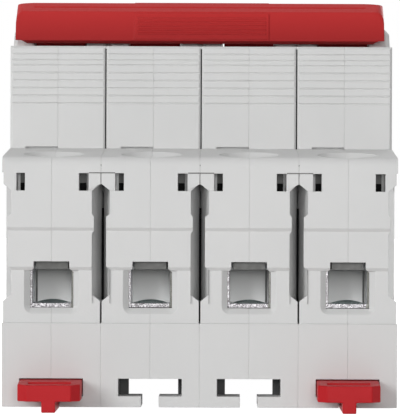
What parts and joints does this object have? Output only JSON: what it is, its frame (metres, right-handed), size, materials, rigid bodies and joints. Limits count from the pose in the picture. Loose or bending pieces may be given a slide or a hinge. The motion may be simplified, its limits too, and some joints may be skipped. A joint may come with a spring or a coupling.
{
  "type": "modular circuit breaker",
  "caption": "Rail-mounted modular breaker with several poles side by side, one tied handle bar, screw clamp terminals at both ends and sliding rail clips.",
  "frame": {"origin": "middle of the seat for the 35 mm rail, on the back of the case, between the two middle modules", "axes": "+X across the modules, +Y towards the line terminals (away from the handle at rest), +Z to the front, where the handle is"},
  "size_m": [0.072, 0.093, 0.0762],
  "materials": {
    "case_grey": "light grey moulded plastic with a fine spark-eroded grain",
    "handle_red": "red moulded plastic, satin",
    "toggle_red": "red moulded plastic, satin",
    "clip_red": "red moulded plastic, satin",
    "clamp_steel": "zinc-plated pressed steel with sheared, serrated edges",
    "screw_steel": "zinc-plated steel",
    "spring_steel": "drawn steel wire",
    "contact_copper": "tinned copper with silver contact pads",
    "coil_copper": "enamelled copper winding on a bobbin",
    "bimetal_strip": "rolled bimetal strip welded to its tongue",
    "chute_steel": "steel splitter plates in fibre cheeks"
  },
  "bodies": {
    "case": {"shell_left_1": "case_grey", "shell_right_1": "case_grey", "fixed_contact_1": "contact_copper", "arc_chute_1": "chute_steel", "trip_coil_1": "coil_copper", "bimetal_1": "bimetal_strip", "shell_left_2": "case_grey", "shell_right_2": "case_grey", "fixed_contact_2": "contact_copper", "arc_chute_2": "chute_steel", "trip_coil_2": "coil_copper", "bimetal_2": "bimetal_strip", "shell_left_3": "case_grey", "shell_right_3": "case_grey", "fixed_contact_3": "contact_copper", "arc_chute_3": "chute_steel", "trip_coil_3": "coil_copper", "bimetal_3": "bimetal_strip", "shell_left_4": "case_grey", "shell_right_4": "case_grey", "fixed_contact_4": "contact_copper", "arc_chute_4": "chute_steel", "trip_coil_4": "coil_copper", "bimetal_4": "bimetal_strip"},
    "handle": {"handle_bar": "handle_red", "toggle_1": "toggle_red", "toggle_2": "toggle_red", "toggle_3": "toggle_red", "toggle_4": "toggle_red"},
    "link_1_body": {"toggle_link_1": "spring_steel"},
    "arm_1_body": {"contact_arm_1": "contact_copper"},
    "line_screw_1_body": {"line_screw_1": "screw_steel"},
    "line_cage_1_body": {"line_cage_1": "clamp_steel"},
    "load_screw_1_body": {"load_screw_1": "screw_steel"},
    "load_cage_1_body": {"load_cage_1": "clamp_steel"},
    "link_2_body": {"toggle_link_2": "spring_steel"},
    "arm_2_body": {"contact_arm_2": "contact_copper"},
    "line_screw_2_body": {"line_screw_2": "screw_steel"},
    "line_cage_2_body": {"line_cage_2": "clamp_steel"},
    "load_screw_2_body": {"load_screw_2": "screw_steel"},
    "load_cage_2_body": {"load_cage_2": "clamp_steel"},
    "link_3_body": {"toggle_link_3": "spring_steel"},
    "arm_3_body": {"contact_arm_3": "contact_copper"},
    "line_screw_3_body": {"line_screw_3": "screw_steel"},
    "line_cage_3_body": {"line_cage_3": "clamp_steel"},
    "load_screw_3_body": {"load_screw_3": "screw_steel"},
    "load_cage_3_body": {"load_cage_3": "clamp_steel"},
    "link_4_body": {"toggle_link_4": "spring_steel"},
    "arm_4_body": {"contact_arm_4": "contact_copper"},
    "line_screw_4_body": {"line_screw_4": "screw_steel"},
    "line_cage_4_body": {"line_cage_4": "clamp_steel"},
    "load_screw_4_body": {"load_screw_4": "screw_steel"},
    "load_cage_4_body": {"load_cage_4": "clamp_steel"},
    "clip_1_body": {"rail_clip_1": "clip_red"},
    "clip_4_body": {"rail_clip_4": "clip_red"}
  },
  "joints": [
    {"name": "handle_swing", "type": "hinge", "parent": "case", "child": "handle", "pos_m": [0, 0, 0.0458], "axis": [-1, 0, 0], "range_deg": [0, 66]},
    {"name": "link_1_pivot", "type": "hinge", "parent": "handle", "child": "link_1_body", "pos_m": [-0.027, 0.00272, 0.04161], "axis": [1, 0, 0], "range_deg": [0, 66.01]},
    {"name": "arm_1_hinge", "type": "hinge", "parent": "case", "child": "arm_1_body", "pos_m": [-0.027, 0, 0.0247], "axis": [1, 0, 0], "range_deg": [0, 31.62]},
    {"name": "line_screw_1_turn", "type": "hinge", "parent": "case", "child": "line_screw_1_body", "pos_m": [-0.027, 0.03645, 0.0324], "axis": [0, 0, -1], "range_deg": [0, 2432]},
    {"name": "line_cage_1_lift", "type": "slide", "parent": "case", "child": "line_cage_1_body", "axis": [0, 0, 1], "range_m": [0, 0.0054]},
    {"name": "load_screw_1_turn", "type": "hinge", "parent": "case", "child": "load_screw_1_body", "pos_m": [-0.027, -0.03645, 0.0324], "axis": [0, 0, -1], "range_deg": [0, 2432]},
    {"name": "load_cage_1_lift", "type": "slide", "parent": "case", "child": "load_cage_1_body", "axis": [0, 0, 1], "range_m": [0, 0.0054]},
    {"name": "link_2_pivot", "type": "hinge", "parent": "handle", "child": "link_2_body", "pos_m": [-0.009, 0.00272, 0.04161], "axis": [1, 0, 0], "range_deg": [0, 66.01]},
    {"name": "arm_2_hinge", "type": "hinge", "parent": "case", "child": "arm_2_body", "pos_m": [-0.009, 0, 0.0247], "axis": [1, 0, 0], "range_deg": [0, 31.62]},
    {"name": "line_screw_2_turn", "type": "hinge", "parent": "case", "child": "line_screw_2_body", "pos_m": [-0.009, 0.03645, 0.0324], "axis": [0, 0, -1], "range_deg": [0, 2432]},
    {"name": "line_cage_2_lift", "type": "slide", "parent": "case", "child": "line_cage_2_body", "axis": [0, 0, 1], "range_m": [0, 0.0054]},
    {"name": "load_screw_2_turn", "type": "hinge", "parent": "case", "child": "load_screw_2_body", "pos_m": [-0.009, -0.03645, 0.0324], "axis": [0, 0, -1], "range_deg": [0, 2432]},
    {"name": "load_cage_2_lift", "type": "slide", "parent": "case", "child": "load_cage_2_body", "axis": [0, 0, 1], "range_m": [0, 0.0054]},
    {"name": "link_3_pivot", "type": "hinge", "parent": "handle", "child": "link_3_body", "pos_m": [0.009, 0.00272, 0.04161], "axis": [1, 0, 0], "range_deg": [0, 66.01]},
    {"name": "arm_3_hinge", "type": "hinge", "parent": "case", "child": "arm_3_body", "pos_m": [0.009, 0, 0.0247], "axis": [1, 0, 0], "range_deg": [0, 31.62]},
    {"name": "line_screw_3_turn", "type": "hinge", "parent": "case", "child": "line_screw_3_body", "pos_m": [0.009, 0.03645, 0.0324], "axis": [0, 0, -1], "range_deg": [0, 2432]},
    {"name": "line_cage_3_lift", "type": "slide", "parent": "case", "child": "line_cage_3_body", "axis": [0, 0, 1], "range_m": [0, 0.0054]},
    {"name": "load_screw_3_turn", "type": "hinge", "parent": "case", "child": "load_screw_3_body", "pos_m": [0.009, -0.03645, 0.0324], "axis": [0, 0, -1], "range_deg": [0, 2432]},
    {"name": "load_cage_3_lift", "type": "slide", "parent": "case", "child": "load_cage_3_body", "axis": [0, 0, 1], "range_m": [0, 0.0054]},
    {"name": "link_4_pivot", "type": "hinge", "parent": "handle", "child": "link_4_body", "pos_m": [0.027, 0.00272, 0.04161], "axis": [1, 0, 0], "range_deg": [0, 66.01]},
    {"name": "arm_4_hinge", "type": "hinge", "parent": "case", "child": "arm_4_body", "pos_m": [0.027, 0, 0.0247], "axis": [1, 0, 0], "range_deg": [0, 31.62]},
    {"name": "line_screw_4_turn", "type": "hinge", "parent": "case", "child": "line_screw_4_body", "pos_m": [0.027, 0.03645, 0.0324], "axis": [0, 0, -1], "range_deg": [0, 2432]},
    {"name": "line_cage_4_lift", "type": "slide", "parent": "case", "child": "line_cage_4_body", "axis": [0, 0, 1], "range_m": [0, 0.0054]},
    {"name": "load_screw_4_turn", "type": "hinge", "parent": "case", "child": "load_screw_4_body", "pos_m": [0.027, -0.03645, 0.0324], "axis": [0, 0, -1], "range_deg": [0, 2432]},
    {"name": "load_cage_4_lift", "type": "slide", "parent": "case", "child": "load_cage_4_body", "axis": [0, 0, 1], "range_m": [0, 0.0054]},
    {"name": "clip_1_slide", "type": "slide", "parent": "case", "child": "clip_1_body", "axis": [0, -1, 0], "range_m": [0, 0.0045]},
    {"name": "clip_4_slide", "type": "slide", "parent": "case", "child": "clip_4_body", "axis": [0, -1, 0], "range_m": [0, 0.0045]}
  ],
  "couplings": [
    {"joint": "link_1_pivot", "follows": "handle_swing", "ratio": 1},
    {"joint": "arm_1_hinge", "follows": "handle_swing", "ratio": 0.4788},
    {"joint": "line_screw_1_turn", "follows": "line_cage_1_lift", "rad_per_m": 7854},
    {"joint": "load_screw_1_turn", "follows": "load_cage_1_lift", "rad_per_m": 7854},
    {"joint": "link_2_pivot", "follows": "handle_swing", "ratio": 1},
    {"joint": "arm_2_hinge", "follows": "handle_swing", "ratio": 0.4788},
    {"joint": "line_screw_2_turn", "follows": "line_cage_2_lift", "rad_per_m": 7854},
    {"joint": "load_screw_2_turn", "follows": "load_cage_2_lift", "rad_per_m": 7854},
    {"joint": "link_3_pivot", "follows": "handle_swing", "ratio": 1},
    {"joint": "arm_3_hinge", "follows": "handle_swing", "ratio": 0.4788},
    {"joint": "line_screw_3_turn", "follows": "line_cage_3_lift", "rad_per_m": 7854},
    {"joint": "load_screw_3_turn", "follows": "load_cage_3_lift", "rad_per_m": 7854},
    {"joint": "link_4_pivot", "follows": "handle_swing", "ratio": 1},
    {"joint": "arm_4_hinge", "follows": "handle_swing", "ratio": 0.4788},
    {"joint": "line_screw_4_turn", "follows": "line_cage_4_lift", "rad_per_m": 7854},
    {"joint": "load_screw_4_turn", "follows": "load_cage_4_lift", "rad_per_m": 7854}
  ]
}
